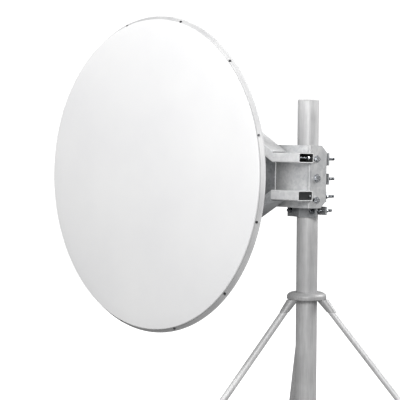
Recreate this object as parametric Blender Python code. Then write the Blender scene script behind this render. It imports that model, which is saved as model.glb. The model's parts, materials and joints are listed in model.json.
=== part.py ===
# Parabolic dish antenna of the 1.2 m class with a flat radome, held beside a tripod mast.
# Metres, +Z up. The origin is on the mast's axis at ground level, and the dish looks along -Y.
import math

import bmesh
import bpy
from mathutils import Matrix, Vector

# Mast and tripod
MAST_RADIUS = 0.04445
MAST_WALL = 0.004
MAST_TOP = 1.689
MAST_SIDES = 48
CAP_HEIGHT = 0.006
CAP_SKIRT = 0.030
BASE_PLATE_SIDE = 0.220
BASE_PLATE_THICKNESS = 0.010
COLLAR_TOP = 0.892
COLLAR_UNDERSIDE = 0.862
COLLAR_RADIUS = 0.083
COLLAR_DOME = [(0.056, 0.0005), (0.069, 0.004), (0.078, 0.010), (COLLAR_RADIUS, 0.018)]
LEG_RADIUS = 0.0145
LEG_WALL = 0.003
LEG_TOP_REACH = 0.071
LEG_SLOPE = 0.88
LEG_HEADINGS = {"front": 259.0, "right": 19.0, "left": 139.0}
FOOT_RADIUS = 0.055
FOOT_THICKNESS = 0.008

# Dish
DISH_OFFSET_X = -0.3425
APERTURE_Y = -0.583
DISH_CENTRE_Z = 1.371
DISH_SIDES = 72
RADOME_RADIUS = 0.6305
RADOME_THICKNESS = 0.006
RADOME_EDGE = 0.002
REFLECTOR_RADIUS = 0.612
REFLECTOR_DEPTH = 0.210
REFLECTOR_SETBACK = 0.010
REFLECTOR_WALL = 0.0025
REFLECTOR_RINGS = 10
RIM_FRONT_RADIUS = 0.6295
RIM_RADIUS = 0.644
RIM_DEPTH = 0.024
RIM_WALL = 0.004
RIM_LEDGE = 0.003
RIM_SEAM_DEPTH = 0.0015
RIM_SEAM_WIDTH = 0.003
PAN_RADIUS = 0.3722
PAN_BACK = 0.234
PAN_WALL = 0.005
PAN_HOLE_RADIUS = 0.085
BOSS_RADIUS = 0.075
BOSS_BACK = 0.262
WAVEGUIDE_RADIUS = 0.024
WAVEGUIDE_BACK = 0.318

# Elevation bracket, arms and splayed arms
PIVOT_Y = -0.052
PIVOT_Z = 1.370
REST_ELEVATION = 1.2
BRACKET_FRONT = -0.096
BRACKET_REAR = 0.007
BRACKET_HALF_WIDTH = 0.098
BRACKET_HALF_HEIGHT = 0.129
BRACKET_LIFT = 0.0055
BRACKET_SHEET = 0.005
CHAMFER_LENGTH = 0.032
CHAMFER_HEIGHT = 0.027
BEND_RADIUS = 0.009
BEND_STEPS = 4
SLOT_RADII = {"upper": 0.079, "lower": 0.0905}
SLOT_WIDTH = 0.0135
SLOT_HALF_ANGLE = 10.5
ARM_SPREAD = 0.077
ARM_HEIGHT = 0.040
ARM_DEPTH = 0.087
ARM_WALL = 0.003
PLUG_DEPTH = 0.020
PLUG_INSET = 0.002
ARM_RIGHT_END = 0.119
ARM_KINK = -0.034
ADJUST_SCREW_INSET = 0.014
ADJUST_SCREW_RADIUS = 0.006
ADJUST_NUT_RADIUS = 0.0114
ADJUST_NUT_SETBACK = 0.016
SPLAY_LEFT_END = -0.460
SPLAY_SLOPE = 0.577
SPLAY_HEIGHT = ARM_HEIGHT * math.sqrt(1 + SPLAY_SLOPE * SPLAY_SLOPE)
STANDOFF_SIDE = 0.040
STANDOFF_WALL = 0.003
STANDOFF_STATIONS = {"right": -0.150, "left": -0.430}

# Clamp saddle that grips the mast
SADDLE_SHEET = 0.005
SADDLE_TOP = 0.100
SADDLE_BOTTOM = -0.164
SADDLE_HALF_WIDTH = 0.080
SADDLE_V_HALF_WIDTH = 0.045
SADDLE_V_ANGLE = 20.0
CHEEK_OUTER_X = 0.0855
CHEEK_SHEET = 0.005
CHEEK_FRONT = -0.066
CHEEK_REAR = 0.002
CHEEK_HALF_HEIGHT = 0.103
JAW_SHEET = 0.010
JAW_V_HALF_WIDTH = 0.040
JAW_V_ANGLE = 30.0
CLAMPS = {
    "upper": {"level": 0.0765, "jawHalfWidth": 0.086, "jawHalfHeight": 0.026, "rodRear": 0.092},
    "middle": {"level": -0.0055, "jawHalfWidth": 0.086, "jawHalfHeight": 0.023, "rodRear": 0.092},
    "inner": {"level": -0.079, "jawHalfWidth": 0.071, "jawHalfHeight": 0.023, "rodRear": 0.092},
    "lower": {"level": -0.138, "jawHalfWidth": 0.075, "jawHalfHeight": 0.0175, "rodRear": 0.078},
}
ROD_X = 0.063
ROD_RADIUS = 0.005
ROD_FRONT = -0.054
NUT_HEIGHT = 0.010
NUT_RADIUS = 0.0095
ROD_SIDES = 16
PIVOT_BOLT_RADIUS = 0.008
LOCK_BOLT_RADIUS = 0.006
PIVOT_HEAD_RADIUS = 0.0135
LOCK_HEAD_RADIUS = 0.0115
BOLT_HEAD_HEIGHT = 0.008
WASHER_RATIO = 1.25
WASHER_THICKNESS = 0.0025
BOLT_INNER_END = 0.0735
INNER_WASHER_RADIUS = 0.0125
INNER_NUT_RADIUS = 0.0102

GAP = 0.0003
MOUNT_Z = PIVOT_Z + BRACKET_LIFT

MATERIALS = {
    "galvanised_steel": ((0.56, 0.57, 0.58), 0.42, 0.9),
    "galvanised_pipe": ((0.60, 0.60, 0.61), 0.45, 0.85),
    "zinc_plated_steel": ((0.70, 0.71, 0.72), 0.28, 1.0),
    "white_radome": ((0.86, 0.87, 0.88), 0.38, 0.0),
    "white_enamel": ((0.80, 0.81, 0.82), 0.34, 0.0),
    "black_plastic": ((0.02, 0.02, 0.022), 0.45, 0.0),
    "grey_plastic": ((0.55, 0.56, 0.57), 0.50, 0.0),
}


def clearScene():
    for obj in list(bpy.data.objects):
        bpy.data.objects.remove(obj, do_unlink=True)


def makeMaterials():
    made = {}
    for name, (colour, roughness, metallic) in MATERIALS.items():
        material = bpy.data.materials.new(name)
        material.use_nodes = True
        shader = material.node_tree.nodes["Principled BSDF"]
        shader.inputs["Base Color"].default_value = (*colour, 1.0)
        shader.inputs["Roughness"].default_value = roughness
        shader.inputs["Metallic"].default_value = metallic
        material.diffuse_color = (*colour, 1.0)
        made[name] = material
    return made


def makeAxis(name, position, parent=None):
    axis = bpy.data.objects.new(name, None)
    axis.empty_display_size = 0.1
    bpy.context.scene.collection.objects.link(axis)
    if parent is not None:
        axis.parent = parent
        position = Vector(position) - parent.location
    axis.location = position
    return axis


def addPart(name, mesh, material, carrier=None, smoothAngle=None):
    """Turn a finished bmesh in world coordinates into a named part under its carrier."""
    bmesh.ops.recalc_face_normals(mesh, faces=mesh.faces)
    if carrier is not None:
        bpy.context.view_layer.update()
        mesh.transform(carrier.matrix_world.inverted())
    data = bpy.data.meshes.new(name)
    mesh.to_mesh(data)
    mesh.free()
    if smoothAngle is not None:
        data.shade_smooth()
        data.set_sharp_from_angle(angle=math.radians(smoothAngle))
    obj = bpy.data.objects.new(name, data)
    if material is not None:
        data.materials.append(material)
    bpy.context.scene.collection.objects.link(obj)
    obj.parent = carrier
    return obj


def boxMesh(low, high):
    mesh = bmesh.new()
    bmesh.ops.create_cube(mesh, size=1.0)
    size = Vector(high) - Vector(low)
    middle = (Vector(high) + Vector(low)) / 2
    bmesh.ops.scale(mesh, vec=size, verts=mesh.verts)
    bmesh.ops.translate(mesh, vec=middle, verts=mesh.verts)
    return mesh


def prismMesh(outline, place, start, end):
    """Extrude a flat outline. place(a, b, t) gives the point of outline (a, b) at depth t."""
    mesh = bmesh.new()
    near = [mesh.verts.new(place(a, b, start)) for a, b in outline]
    far = [mesh.verts.new(place(a, b, end)) for a, b in outline]
    mesh.faces.new(near)
    mesh.faces.new(list(reversed(far)))
    count = len(outline)
    for i in range(count):
        j = (i + 1) % count
        mesh.faces.new((near[j], near[i], far[i], far[j]))
    return mesh


def frameMesh(rings):
    """Join four matching rings (outer start, outer end, inner end, inner start) into a tube."""
    mesh = bmesh.new()
    loops = [[mesh.verts.new(point) for point in ring] for ring in rings]
    count = len(loops[0])
    for k, loop in enumerate(loops):
        following = loops[(k + 1) % len(loops)]
        for i in range(count):
            j = (i + 1) % count
            mesh.faces.new((loop[i], loop[j], following[j], following[i]))
    return mesh


def turnedMesh(profile, sides, centre, axis="Z"):
    """Revolve a closed profile of (radius, height) points. A radius of 0 makes a pole."""
    mesh = bmesh.new()
    rings = []
    for radius, height in profile:
        if radius == 0.0:
            rings.append([mesh.verts.new((0.0, 0.0, height))])
            continue
        ring = []
        for i in range(sides):
            angle = 2 * math.pi * (i + 0.5) / sides
            ring.append(mesh.verts.new((radius * math.cos(angle), radius * math.sin(angle), height)))
        rings.append(ring)
    for k, ring in enumerate(rings):
        following = rings[(k + 1) % len(rings)]
        if len(ring) == 1 and len(following) == 1:
            continue
        for i in range(sides):
            j = (i + 1) % sides
            corners = [ring[i % len(ring)], ring[j % len(ring)]]
            corners += [following[j % len(following)], following[i % len(following)]]
            unique = list(dict.fromkeys(corners))
            mesh.faces.new(unique)
    if axis == "Y":
        mesh.transform(Matrix.Rotation(math.radians(-90), 4, "X"))
    if axis == "X":
        mesh.transform(Matrix.Rotation(math.radians(90), 4, "Y"))
    mesh.transform(Matrix.Translation(centre))
    return mesh


def cutWith(obj, cutter):
    cutter.hide_render = True
    cutter.display_type = "WIRE"
    modifier = obj.modifiers.new("cut", "BOOLEAN")
    modifier.operation = "DIFFERENCE"
    modifier.solver = "EXACT"
    modifier.object = cutter


def pinCutter(name, x, y, z, radius, length, carrier):
    mesh = turnedMesh(
        [(0.0, -length / 2), (radius, -length / 2), (radius, length / 2), (0.0, length / 2)],
        ROD_SIDES, (x, y, z), "X")
    return addPart(name, mesh, None, carrier)


def rodCutter(name, x, z, radius, start, end, carrier):
    profile = [(0.0, start), (radius, start), (radius, end), (0.0, end)]
    mesh = turnedMesh(profile, ROD_SIDES, (x, 0.0, z), "Y")
    return addPart(name, mesh, None, carrier)


def addMast(materials):
    bottom = BASE_PLATE_THICKNESS + GAP
    inner = MAST_RADIUS - MAST_WALL
    profile = [(MAST_RADIUS, bottom), (MAST_RADIUS, MAST_TOP), (inner, MAST_TOP), (inner, bottom)]
    addPart("mast_pipe", turnedMesh(profile, MAST_SIDES, (0, 0, 0)), materials["galvanised_pipe"], None, 40)
    low = MAST_TOP + GAP
    plug = inner - GAP * 2
    profile = [
        (0.0, low + CAP_HEIGHT),
        (MAST_RADIUS * 0.86, low + CAP_HEIGHT),
        (MAST_RADIUS, low + CAP_HEIGHT * 0.4),
        (MAST_RADIUS, low),
        (plug, low),
        (plug, MAST_TOP - CAP_SKIRT),
        (plug - 0.003, MAST_TOP - CAP_SKIRT),
        (plug - 0.003, low + CAP_HEIGHT * 0.3),
        (0.0, low + CAP_HEIGHT * 0.3),
    ]
    addPart("mast_cap", turnedMesh(profile, MAST_SIDES, (0, 0, 0)), materials["grey_plastic"], None, 40)
    half = BASE_PLATE_SIDE / 2
    plate = addPart(
        "mast_base_plate", boxMesh((-half, -half, 0), (half, half, BASE_PLATE_THICKNESS)),
        materials["galvanised_steel"])
    edge = plate.modifiers.new("edge", "BEVEL")
    edge.width = 0.0015
    edge.segments = 1


def addCollar(materials):
    bore = MAST_RADIUS + GAP
    profile = [(bore, COLLAR_TOP)]
    profile += [(radius, COLLAR_TOP - drop) for radius, drop in COLLAR_DOME]
    profile += [(COLLAR_RADIUS - 0.001, COLLAR_UNDERSIDE), (bore, COLLAR_UNDERSIDE)]
    addPart("leg_collar", turnedMesh(profile, MAST_SIDES, (0, 0, 0)), materials["galvanised_pipe"], None, 40)


def addLeg(name, heading, materials):
    direction = Vector((math.cos(math.radians(heading)), math.sin(math.radians(heading)), 0.0))
    across = Vector((-direction.y, direction.x, 0.0))
    stretch = math.sqrt(1 + LEG_SLOPE * LEG_SLOPE)
    top = COLLAR_UNDERSIDE - GAP
    bottom = FOOT_THICKNESS + GAP
    sides = 20

    def ring(radius, level):
        centre = direction * (LEG_TOP_REACH + LEG_SLOPE * (top - level)) + Vector((0, 0, level))
        points = []
        for i in range(sides):
            angle = 2 * math.pi * i / sides
            along = direction * (radius * stretch * math.cos(angle))
            points.append(centre + along + across * (radius * math.sin(angle)))
        return points

    inner = LEG_RADIUS - LEG_WALL
    rings = [ring(LEG_RADIUS, bottom), ring(LEG_RADIUS, top), ring(inner, top), ring(inner, bottom)]
    addPart("leg_" + name, frameMesh(rings), materials["galvanised_pipe"], None, 40)
    centre = direction * (LEG_TOP_REACH + LEG_SLOPE * (top - bottom))
    profile = [
        (0.0, 0.0),
        (FOOT_RADIUS, 0.0),
        (FOOT_RADIUS, FOOT_THICKNESS - 0.0015),
        (FOOT_RADIUS - 0.0015, FOOT_THICKNESS),
        (0.0, FOOT_THICKNESS),
    ]
    mesh = turnedMesh(profile, 32, centre)
    addPart("foot_plate_" + name, mesh, materials["galvanised_steel"], None, 40)


def reflectorDepth(radius):
    """Distance of the reflector's inner face behind the aperture plane."""
    rim = RADOME_THICKNESS + REFLECTOR_SETBACK
    return REFLECTOR_DEPTH * (1 - (radius / REFLECTOR_RADIUS) ** 2) + rim


def rimRadius(depth):
    """Outer radius of the rim's cone at a depth behind the aperture plane."""
    start = RADOME_THICKNESS + GAP + RIM_SEAM_DEPTH
    share = (depth - start) / (RIM_DEPTH - start)
    return RIM_FRONT_RADIUS + (RIM_RADIUS - RIM_FRONT_RADIUS) * share


def addDish(materials, antenna):
    centre = (DISH_OFFSET_X, APERTURE_Y, DISH_CENTRE_Z)
    edge = RADOME_RADIUS - RADOME_EDGE
    profile = [
        (0.0, 0.0),
        (edge, 0.0),
        (RADOME_RADIUS, RADOME_EDGE),
        (RADOME_RADIUS, RADOME_THICKNESS),
        (0.0, RADOME_THICKNESS),
    ]
    mesh = turnedMesh(profile, DISH_SIDES, centre, "Y")
    addPart("radome", mesh, materials["white_radome"], antenna, 40)

    seat = RADOME_THICKNESS + GAP
    seam = seat + RIM_SEAM_DEPTH
    groove = RIM_FRONT_RADIUS - RIM_SEAM_WIDTH
    shelf = seam + RIM_LEDGE
    ledge = REFLECTOR_RADIUS + 0.001
    profile = [
        (groove, seat),
        (groove, seam),
        (RIM_FRONT_RADIUS, seam),
        (rimRadius(RIM_DEPTH), RIM_DEPTH),
        (RIM_RADIUS - RIM_WALL, RIM_DEPTH),
        (rimRadius(shelf) - RIM_WALL, shelf),
        (ledge, shelf),
        (ledge, seat),
    ]
    mesh = turnedMesh(profile, DISH_SIDES, centre, "Y")
    addPart("rim_band", mesh, materials["white_enamel"], antenna, 40)

    radii = [REFLECTOR_RADIUS * i / REFLECTOR_RINGS for i in range(REFLECTOR_RINGS, 0, -1)]
    lip = reflectorDepth(REFLECTOR_RADIUS)
    flange = rimRadius(lip) - RIM_WALL - GAP
    inside = [(radius, reflectorDepth(radius)) for radius in radii] + [(0.0, reflectorDepth(0.0))]
    outside = [(0.0, reflectorDepth(0.0) + REFLECTOR_WALL)]
    outside += [(radius, reflectorDepth(radius) + REFLECTOR_WALL) for radius in reversed(radii)]
    edge = [(flange, lip + REFLECTOR_WALL), (flange, lip)]
    mesh = turnedMesh(edge + inside + outside, DISH_SIDES, centre, "Y")
    addPart("reflector", mesh, materials["white_enamel"], antenna, 40)

    wallInner = PAN_RADIUS - PAN_WALL
    clearance = REFLECTOR_WALL + GAP
    profile = [
        (PAN_RADIUS, reflectorDepth(PAN_RADIUS) + clearance),
        (PAN_RADIUS, PAN_BACK - 0.004),
        (PAN_RADIUS - 0.004, PAN_BACK),
        (PAN_HOLE_RADIUS, PAN_BACK),
        (PAN_HOLE_RADIUS, PAN_BACK - PAN_WALL),
        (wallInner, PAN_BACK - PAN_WALL),
        (wallInner, reflectorDepth(wallInner) + clearance),
    ]
    mesh = turnedMesh(profile, DISH_SIDES, centre, "Y")
    addPart("back_pan", mesh, materials["white_enamel"], antenna, 40)

    start = reflectorDepth(0.0) + REFLECTOR_WALL + GAP
    profile = [
        (0.0, start),
        (BOSS_RADIUS, start),
        (BOSS_RADIUS, BOSS_BACK - 0.006),
        (BOSS_RADIUS - 0.006, BOSS_BACK),
        (0.0, BOSS_BACK),
    ]
    mesh = turnedMesh(profile, MAST_SIDES, centre, "Y")
    addPart("feed_boss", mesh, materials["white_enamel"], antenna, 40)
    start = BOSS_BACK + GAP
    flangeFront = WAVEGUIDE_BACK - 0.010
    profile = [
        (0.0, start),
        (WAVEGUIDE_RADIUS, start),
        (WAVEGUIDE_RADIUS, flangeFront),
        (WAVEGUIDE_RADIUS * 1.5, flangeFront),
        (WAVEGUIDE_RADIUS * 1.5, WAVEGUIDE_BACK),
        (0.0, WAVEGUIDE_BACK),
    ]
    mesh = turnedMesh(profile, 32, centre, "Y")
    addPart("feed_port", mesh, materials["zinc_plated_steel"], antenna, 40)


def slotCutter(name, side, sign, centreRadius, carrier):
    """Arc slot about the elevation pivot, above (sign 1) or below (sign -1) it."""
    steps = 6
    half = math.radians(SLOT_HALF_ANGLE)
    outer = centreRadius + SLOT_WIDTH / 2
    inner = centreRadius - SLOT_WIDTH / 2
    outline = []

    def add(radius, angle, offset=(0.0, 0.0)):
        y = PIVOT_Y + radius * math.sin(angle) + offset[0]
        z = PIVOT_Z + sign * (radius * math.cos(angle) + offset[1])
        outline.append((y, z))

    for i in range(steps + 1):
        add(outer, -half + 2 * half * i / steps)
    for i in range(1, 4):
        turn = math.pi / 2 - half - math.pi * i / 4
        add(centreRadius, half, (SLOT_WIDTH / 2 * math.cos(turn), SLOT_WIDTH / 2 * math.sin(turn)))
    for i in range(steps + 1):
        add(inner, half - 2 * half * i / steps)
    for i in range(1, 4):
        turn = math.pi / 2 + half + math.pi * (4 - i) / 4
        add(centreRadius, -half, (SLOT_WIDTH / 2 * math.cos(turn), SLOT_WIDTH / 2 * math.sin(turn)))
    x = side * BRACKET_HALF_WIDTH
    mesh = prismMesh(outline, lambda a, b, t: (t, a, b), x - 0.012, x + 0.012)
    return addPart(name, mesh, None, carrier)


def addBracket(materials, antenna):
    """One bent sheet: a front plate with a chamfered cheek on each side."""
    outer = BRACKET_HALF_WIDTH

    def bend(radius):
        points = []
        for i in range(BEND_STEPS + 1):
            angle = math.pi / 2 * i / BEND_STEPS
            x = outer - BEND_RADIUS + radius * math.sin(angle)
            points.append((x, BRACKET_FRONT + BEND_RADIUS - radius * math.cos(angle)))
        return points

    outside = bend(BEND_RADIUS) + [(outer, BRACKET_REAR)]
    inside = bend(BEND_RADIUS - BRACKET_SHEET) + [(outer - BRACKET_SHEET, BRACKET_REAR)]
    outline = [(-x, y) for x, y in reversed(outside)] + outside
    outline += list(reversed(inside)) + [(-x, y) for x, y in inside]
    low = MOUNT_Z - BRACKET_HALF_HEIGHT
    high = MOUNT_Z + BRACKET_HALF_HEIGHT
    mesh = prismMesh(outline, lambda a, b, t: (a, b, t), low, high)
    bracket = addPart("elevation_bracket", mesh, materials["galvanised_steel"], antenna)
    for sign, label in ((1, "upper"), (-1, "lower")):
        edge = MOUNT_Z + sign * BRACKET_HALF_HEIGHT
        corner = [
            (BRACKET_REAR - CHAMFER_LENGTH, edge),
            (BRACKET_REAR + 0.01, edge - sign * CHAMFER_HEIGHT * (1 + 0.01 / CHAMFER_LENGTH)),
            (BRACKET_REAR + 0.01, edge + sign * 0.01),
            (BRACKET_REAR - CHAMFER_LENGTH, edge + sign * 0.01),
        ]
        mesh = prismMesh(corner, lambda a, b, t: (t, a, b), -outer - 0.01, outer + 0.01)
        cutWith(bracket, addPart("chamfer_cutter_" + label, mesh, None, antenna))
    for side, name in ((-1, "left"), (1, "right")):
        for sign, label in ((1, "upper"), (-1, "lower")):
            cutter = slotCutter(label + "_slot_cutter_" + name, side, sign, SLOT_RADII[label], antenna)
            cutWith(bracket, cutter)
        cutWith(bracket, pinCutter(
            "pivot_hole_cutter_" + name, side * outer, PIVOT_Y, PIVOT_Z,
            PIVOT_BOLT_RADIUS + GAP, 0.03, antenna))


def rectangleRing(x, front, back, level, height, inset):
    low = level - height / 2 + inset
    high = level + height / 2 - inset
    near = front + inset
    far = back - inset
    return [(x, near, low), (x, far, low), (x, far, high), (x, near, high)]


def addArm(name, sign, materials, antenna):
    """Rectangular tube beside the bracket, and a second one that splays from its left end."""
    back = BRACKET_FRONT - GAP
    front = back - ARM_DEPTH
    level = MOUNT_Z + sign * ARM_SPREAD
    near = level + sign * (SPLAY_HEIGHT - ARM_HEIGHT) / 2
    end = near + sign * SPLAY_SLOPE * (ARM_KINK - SPLAY_LEFT_END)

    def tube(node, x1, level1, x2, level2, height):
        rings = [
            rectangleRing(x1, front, back, level1, height, 0.0),
            rectangleRing(x2, front, back, level2, height, 0.0),
            rectangleRing(x2, front, back, level2, height, ARM_WALL),
            rectangleRing(x1, front, back, level1, height, ARM_WALL),
        ]
        addPart(node, frameMesh(rings), materials["galvanised_steel"], antenna)

    tube("arm_" + name, ARM_KINK, level, ARM_RIGHT_END, level, ARM_HEIGHT)
    tube("splay_" + name, SPLAY_LEFT_END, end, ARM_KINK - GAP, near, SPLAY_HEIGHT)


def addArmPlug(materials, antenna):
    """Push-in end plug of the lower arm."""
    inset = ARM_WALL + GAP
    back = BRACKET_FRONT - GAP
    front = back - ARM_DEPTH
    level = MOUNT_Z - ARM_SPREAD
    half = ARM_HEIGHT / 2 - inset
    mesh = boxMesh(
        (ARM_RIGHT_END - PLUG_DEPTH, front + inset, level - half),
        (ARM_RIGHT_END - PLUG_INSET, back - inset, level + half))
    addPart("arm_plug_lower", mesh, materials["black_plastic"], antenna)


def addGusset(materials, antenna):
    """Flared sheet behind the splayed arms, in line with the bracket's front plate."""
    right = -BRACKET_HALF_WIDTH - GAP
    rise = SPLAY_SLOPE * (right - SPLAY_LEFT_END)
    high = MOUNT_Z + BRACKET_HALF_HEIGHT
    low = MOUNT_Z - BRACKET_HALF_HEIGHT
    left = SPLAY_LEFT_END
    outline = [(right, low), (right, high), (left, high + rise), (left, low - rise)]
    rear = BRACKET_FRONT + BRACKET_SHEET
    mesh = prismMesh(outline, lambda a, b, t: (a, t, b), BRACKET_FRONT, rear)
    addPart("gusset_plate", mesh, materials["galvanised_steel"], antenna)


def addAdjustScrew(materials, antenna):
    """Fine-adjustment screw across the open right end of the upper arm."""
    front = BRACKET_FRONT - GAP - ARM_DEPTH + ARM_WALL + GAP
    back = BRACKET_FRONT - GAP - ARM_WALL - GAP
    nutFront = back - ADJUST_NUT_SETBACK - NUT_HEIGHT
    nutBack = back - ADJUST_NUT_SETBACK
    profile = [
        (0.0, front),
        (ADJUST_SCREW_RADIUS, front),
        (ADJUST_SCREW_RADIUS, nutFront),
        (ADJUST_NUT_RADIUS, nutFront),
        (ADJUST_NUT_RADIUS, nutBack),
        (ADJUST_SCREW_RADIUS, nutBack),
        (ADJUST_SCREW_RADIUS, back),
        (0.0, back),
    ]
    centre = (ARM_RIGHT_END - ADJUST_SCREW_INSET, 0.0, MOUNT_Z + ARM_SPREAD)
    mesh = turnedMesh(profile, ROD_SIDES, centre, "Y")
    addPart("adjusting_screw", mesh, materials["zinc_plated_steel"], antenna, 40)


def squareRing(x, y, z, half):
    return [
        (x - half, y, z - half),
        (x + half, y, z - half),
        (x + half, y, z + half),
        (x - half, y, z + half),
    ]


def addStandoffs(materials, antenna):
    """Square tubes that carry the back pan in front of the splayed arms."""
    start = BRACKET_FRONT - ARM_DEPTH - GAP * 2
    end = APERTURE_Y + PAN_BACK + GAP
    half = STANDOFF_SIDE / 2
    inner = half - STANDOFF_WALL
    for sideName, x in STANDOFF_STATIONS.items():
        rise = ARM_SPREAD + (SPLAY_HEIGHT - ARM_HEIGHT) / 2 + SPLAY_SLOPE * (ARM_KINK - x)
        for levelName, sign in (("upper", 1), ("lower", -1)):
            z = MOUNT_Z + sign * rise
            rings = [
                squareRing(x, start, z, half),
                squareRing(x, end, z, half),
                squareRing(x, end, z, inner),
                squareRing(x, start, z, inner),
            ]
            name = "standoff_%s_%s" % (levelName, sideName)
            addPart(name, frameMesh(rings), materials["galvanised_steel"], antenna)


def addSaddle(materials, head):
    """Inner bracket: a V-bent web that bears on the mast, with a cheek on each side."""
    slope = math.tan(math.radians(SADDLE_V_ANGLE))
    apex = -(MAST_RADIUS + GAP) / math.cos(math.radians(SADDLE_V_ANGLE))
    shift = SADDLE_SHEET / math.cos(math.radians(SADDLE_V_ANGLE))
    wing = apex + slope * SADDLE_V_HALF_WIDTH
    edge = SADDLE_HALF_WIDTH
    vEdge = SADDLE_V_HALF_WIDTH
    outline = [
        (-edge, wing),
        (-vEdge, wing),
        (0.0, apex),
        (vEdge, wing),
        (edge, wing),
        (edge, wing - SADDLE_SHEET),
        (vEdge, wing - SADDLE_SHEET),
        (0.0, apex - shift),
        (-vEdge, wing - SADDLE_SHEET),
        (-edge, wing - SADDLE_SHEET),
    ]
    low = PIVOT_Z + SADDLE_BOTTOM
    high = PIVOT_Z + SADDLE_TOP
    mesh = prismMesh(outline, lambda a, b, t: (a, b, t), low, high)
    web = addPart("clamp_saddle", mesh, materials["galvanised_steel"], head)
    for sideName, side in (("left", -1), ("right", 1)):
        for levelName, clamp in CLAMPS.items():
            name = "rod_hole_cutter_%s_%s" % (levelName, sideName)
            level = PIVOT_Z + clamp["level"]
            cutter = rodCutter(
                name, side * ROD_X, level, ROD_RADIUS + GAP, wing - 0.03, wing + 0.02, head)
            cutWith(web, cutter)
        x1 = side * (CHEEK_OUTER_X - CHEEK_SHEET)
        x2 = side * CHEEK_OUTER_X
        mesh = boxMesh(
            (min(x1, x2), CHEEK_FRONT, PIVOT_Z - CHEEK_HALF_HEIGHT),
            (max(x1, x2), CHEEK_REAR, PIVOT_Z + CHEEK_HALF_HEIGHT))
        cheek = addPart("saddle_cheek_" + sideName, mesh, materials["galvanised_steel"], head)
        middle = side * (CHEEK_OUTER_X - CHEEK_SHEET / 2)
        cutWith(cheek, pinCutter(
            "cheek_pivot_cutter_" + sideName, middle, PIVOT_Y, PIVOT_Z, PIVOT_BOLT_RADIUS + GAP, 0.03, head))
        for levelName, sign in (("upper", 1), ("lower", -1)):
            cutWith(cheek, pinCutter(
                "cheek_%s_cutter_%s" % (levelName, sideName), middle, PIVOT_Y,
                PIVOT_Z + sign * SLOT_RADII[levelName], LOCK_BOLT_RADIUS + GAP, 0.03, head))
    return wing


def addJaws(materials, head, saddleWing):
    slope = math.tan(math.radians(JAW_V_ANGLE))
    apex = (MAST_RADIUS + GAP) / math.cos(math.radians(JAW_V_ANGLE))
    shift = JAW_SHEET / math.cos(math.radians(JAW_V_ANGLE))
    wing = apex - slope * JAW_V_HALF_WIDTH
    for levelName, clamp in CLAMPS.items():
        edge = clamp["jawHalfWidth"]
        outline = [
            (-edge, wing),
            (-JAW_V_HALF_WIDTH, wing),
            (0.0, apex),
            (JAW_V_HALF_WIDTH, wing),
            (edge, wing),
            (edge, wing + JAW_SHEET),
            (JAW_V_HALF_WIDTH, wing + JAW_SHEET),
            (0.0, apex + shift),
            (-JAW_V_HALF_WIDTH, wing + JAW_SHEET),
            (-edge, wing + JAW_SHEET),
        ]
        middle = PIVOT_Z + clamp["level"]
        low = middle - clamp["jawHalfHeight"]
        mesh = prismMesh(outline, lambda a, b, t: (a, b, t), low, middle + clamp["jawHalfHeight"])
        jaw = addPart("rear_jaw_" + levelName, mesh, materials["galvanised_steel"], head)
        for sideName, side in (("left", -1), ("right", 1)):
            cutter = rodCutter(
                "jaw_hole_cutter_%s_%s" % (levelName, sideName), side * ROD_X, middle,
                ROD_RADIUS + GAP, wing - 0.02, wing + 0.03, head)
            cutWith(jaw, cutter)
            saddleFront = saddleWing - SADDLE_SHEET - GAP
            jawBack = wing + JAW_SHEET + GAP
            profile = [
                (0.0, ROD_FRONT),
                (ROD_RADIUS, ROD_FRONT),
                (ROD_RADIUS, saddleFront - NUT_HEIGHT),
                (NUT_RADIUS, saddleFront - NUT_HEIGHT),
                (NUT_RADIUS, saddleFront),
                (ROD_RADIUS, saddleFront),
                (ROD_RADIUS, jawBack),
                (NUT_RADIUS, jawBack),
                (NUT_RADIUS, jawBack + NUT_HEIGHT),
                (ROD_RADIUS, jawBack + NUT_HEIGHT),
                (ROD_RADIUS, clamp["rodRear"]),
                (0.0, clamp["rodRear"]),
            ]
            mesh = turnedMesh(profile, ROD_SIDES, (side * ROD_X, 0.0, middle), "Y")
            addPart(
                "clamp_rod_%s_%s" % (levelName, sideName), mesh, materials["zinc_plated_steel"], head, 40)


def addBracketBolt(name, side, level, radius, headRadius, materials, head):
    """Bolt through a cheek and a bracket side, with a washer between them and a nut inside."""
    outside = BRACKET_HALF_WIDTH + GAP
    inside = BRACKET_HALF_WIDTH - BRACKET_SHEET - GAP
    cheekOut = CHEEK_OUTER_X + GAP
    cheekIn = CHEEK_OUTER_X - CHEEK_SHEET - GAP
    washer = headRadius * WASHER_RATIO
    washerFace = outside + WASHER_THICKNESS
    headFace = washerFace + BOLT_HEAD_HEIGHT
    points = [
        (0.0, headFace),
        (headRadius, headFace),
        (headRadius, washerFace),
        (washer, washerFace),
        (washer, outside),
        (radius, outside),
        (radius, inside),
        (INNER_WASHER_RADIUS, inside),
        (INNER_WASHER_RADIUS, cheekOut),
        (radius, cheekOut),
        (radius, cheekIn),
        (INNER_NUT_RADIUS, cheekIn),
        (INNER_NUT_RADIUS, BOLT_INNER_END),
        (0.0, BOLT_INNER_END),
    ]
    profile = [(r, side * h) for r, h in points]
    mesh = turnedMesh(profile, ROD_SIDES, (0.0, PIVOT_Y, PIVOT_Z + level), "X")
    addPart(name, mesh, materials["zinc_plated_steel"], head, 40)


def addBolts(materials, head):
    for sideName, side in (("left", -1), ("right", 1)):
        addBracketBolt(
            "pivot_bolt_" + sideName, side, 0.0, PIVOT_BOLT_RADIUS, PIVOT_HEAD_RADIUS, materials, head)
        for levelName, sign in (("upper", 1), ("lower", -1)):
            addBracketBolt(
                "lock_bolt_%s_%s" % (levelName, sideName), side, sign * SLOT_RADII[levelName],
                LOCK_BOLT_RADIUS, LOCK_HEAD_RADIUS, materials, head)


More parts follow.
